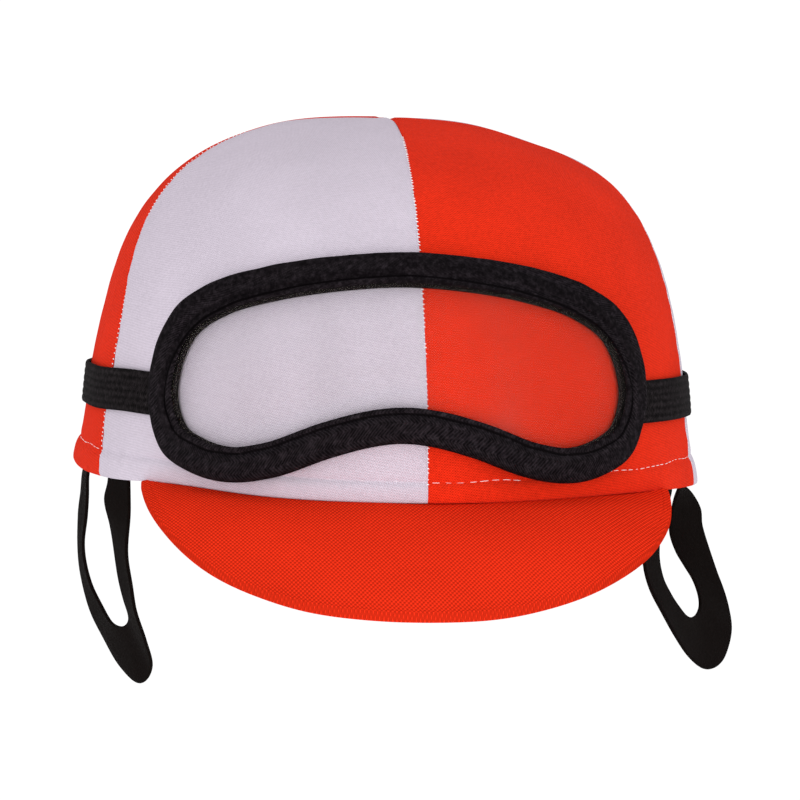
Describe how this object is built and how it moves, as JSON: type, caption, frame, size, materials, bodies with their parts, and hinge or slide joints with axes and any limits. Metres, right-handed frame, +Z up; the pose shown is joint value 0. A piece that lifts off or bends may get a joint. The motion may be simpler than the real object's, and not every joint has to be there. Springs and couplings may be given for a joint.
{
  "type": "jockey cap with goggles",
  "caption": "Quartered satin jockey cap with a round crown, stiff peak, goggles on an elastic strap and an ear loop at each side.",
  "frame": {"origin": "centre of the head opening at the level of the hem", "axes": "+Z up through the crown, -Y to the front where the peak points, +X to the viewer's right as seen from the front"},
  "size_m": [0.2006, 0.2774, 0.1691],
  "materials": {
    "white_satin": "white satin knit, soft sheen",
    "red_satin": "red satin knit, soft sheen",
    "red_twill": "red woven cover with a fine diamond grain",
    "black_binding": "matt black knitted binding",
    "clear_lens": "clear bent plastic sheet, lightly scratched",
    "black_elastic": "black braided elastic with lengthwise ribs",
    "black_knit": "black stretch knit, slight sheen"
  },
  "bodies": {
    "root": {"crown_panel_front_left": "white_satin", "crown_panel_front_right": "red_satin", "crown_panel_back_right": "white_satin", "crown_panel_back_left": "red_satin", "peak": "red_twill", "goggle_frame": "black_binding", "goggle_lens": "clear_lens", "goggle_strap": "black_elastic", "ear_loop_left": "black_knit", "ear_loop_right": "black_knit"}
  },
  "joints": []
}
